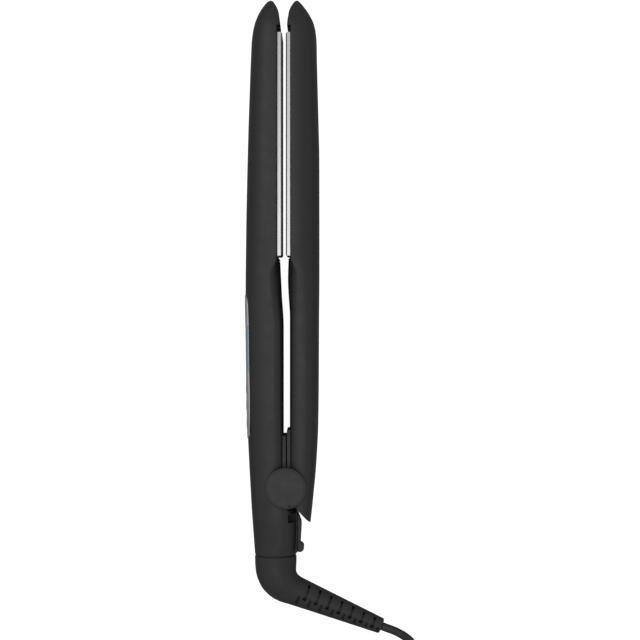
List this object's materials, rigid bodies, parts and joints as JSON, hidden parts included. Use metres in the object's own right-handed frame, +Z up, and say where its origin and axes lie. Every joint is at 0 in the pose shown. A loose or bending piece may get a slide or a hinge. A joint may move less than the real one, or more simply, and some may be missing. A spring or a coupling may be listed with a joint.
{
  "type": "flat iron",
  "caption": "Slim flat iron lying on its side: two hinged arms with floating heated plates, display panel, lock slider, swivel boot and a tied mains cord with plug.",
  "frame": {"origin": "on the hinge axis, in the flat outer face of the lower hinge cap, on which the iron lies", "axes": "+Y from the hinge towards the tips, +X from the control arm towards the plain arm, +Z up along the hinge pin"},
  "size_m": [0.09, 0.4457, 0.03],
  "materials": {
    "casing": "soft-touch matte black",
    "heat_plastic": "matte black heat-resistant plastic",
    "plate": "brushed, ceramic coated",
    "ceramic": "matte ceramic",
    "steel": "satin",
    "brass": "satin",
    "board": "green board",
    "panel": "satin grey",
    "lens": "clear, blue-tinted",
    "button": "matte black",
    "switch": "matte grey",
    "lead": "red insulation",
    "boot": "matte black",
    "cord": "satin black",
    "plug": "satin black",
    "tie": "woven black"
  },
  "bodies": {
    "control_arm": {"control_casing": "casing", "control_inner_cover": "casing", "control_cover_screw": "steel", "control_plate_carrier": "heat_plastic", "control_spring_rear": "steel", "control_spring_front": "steel", "control_bracket": "steel", "control_bracket_screw_lower": "steel", "control_bracket_screw_upper": "steel", "hinge_pin": "steel", "hinge_cap_lower": "casing", "hinge_cap_upper": "casing", "opening_spring": "steel", "panel_bezel": "panel", "display_lens": "lens", "lcd_module": "switch", "control_board": "board", "power_switch": "switch", "plus_switch": "switch", "minus_switch": "switch", "mains_leads": "lead", "control_heater_leads": "lead", "swivel_retaining_ring": "steel", "swivel_contact_ring": "brass", "lock_detent_spring": "steel"},
    "control_plate": {"control_plate": "plate", "control_heater": "ceramic", "control_heater_clip": "steel", "control_thermal_fuse": "steel"},
    "plain_arm": {"plain_casing": "casing", "plain_inner_cover": "casing", "plain_cover_screw": "steel", "plain_plate_carrier": "heat_plastic", "plain_spring_rear": "steel", "plain_spring_front": "steel", "plain_bracket": "steel", "plain_bracket_screw_lower": "steel", "plain_bracket_screw_upper": "steel", "hinge_bush_lower": "brass", "hinge_bush_upper": "brass", "plain_heater_leads": "lead"},
    "plain_plate": {"plain_plate": "plate", "plain_heater": "ceramic", "plain_heater_clip": "steel", "plain_thermal_fuse": "steel"},
    "lock_slider": {"lock_slider": "casing"},
    "power_button": {"power_button": "button"},
    "plus_button": {"plus_button": "button"},
    "minus_button": {"minus_button": "button"},
    "cord_swivel": {"swivel_boot": "boot", "swivel_contact_pin": "brass", "cord_run": "cord", "cord_hank": "cord", "cord_tie": "tie", "cord_end_run": "cord", "plug_body": "plug", "plug_pin_left": "brass", "plug_pin_right": "brass"}
  },
  "joints": [
    {"name": "arm_hinge", "type": "hinge", "parent": "control_arm", "child": "plain_arm", "pos_m": [0, 0, 0.015], "axis": [0, 0, -1], "range_deg": [-0.4, 8]},
    {"name": "control_plate_float", "type": "slide", "parent": "control_arm", "child": "control_plate", "axis": [-1, 0, 0], "range_m": [0, 0.0006], "stiffness_N_per_m": 2500},
    {"name": "plain_plate_float", "type": "slide", "parent": "plain_arm", "child": "plain_plate", "axis": [1, 0, 0], "range_m": [0, 0.0006], "stiffness_N_per_m": 2500},
    {"name": "lock_slide", "type": "slide", "parent": "control_arm", "child": "lock_slider", "axis": [0, 1, 0], "range_m": [0, 0.004]},
    {"name": "power_press", "type": "slide", "parent": "control_arm", "child": "power_button", "axis": [1, 0, 0], "range_m": [0, 0.0005], "stiffness_N_per_m": 800},
    {"name": "plus_press", "type": "slide", "parent": "control_arm", "child": "plus_button", "axis": [1, 0, 0], "range_m": [0, 0.0005], "stiffness_N_per_m": 800},
    {"name": "minus_press", "type": "slide", "parent": "control_arm", "child": "minus_button", "axis": [1, 0, 0], "range_m": [0, 0.0005], "stiffness_N_per_m": 800},
    {"name": "cord_swivel_turn", "type": "hinge", "parent": "control_arm", "child": "cord_swivel", "pos_m": [-0.0052, -0.0344, 0.015], "axis": [0, 1, 0], "continuous": true}
  ]
}
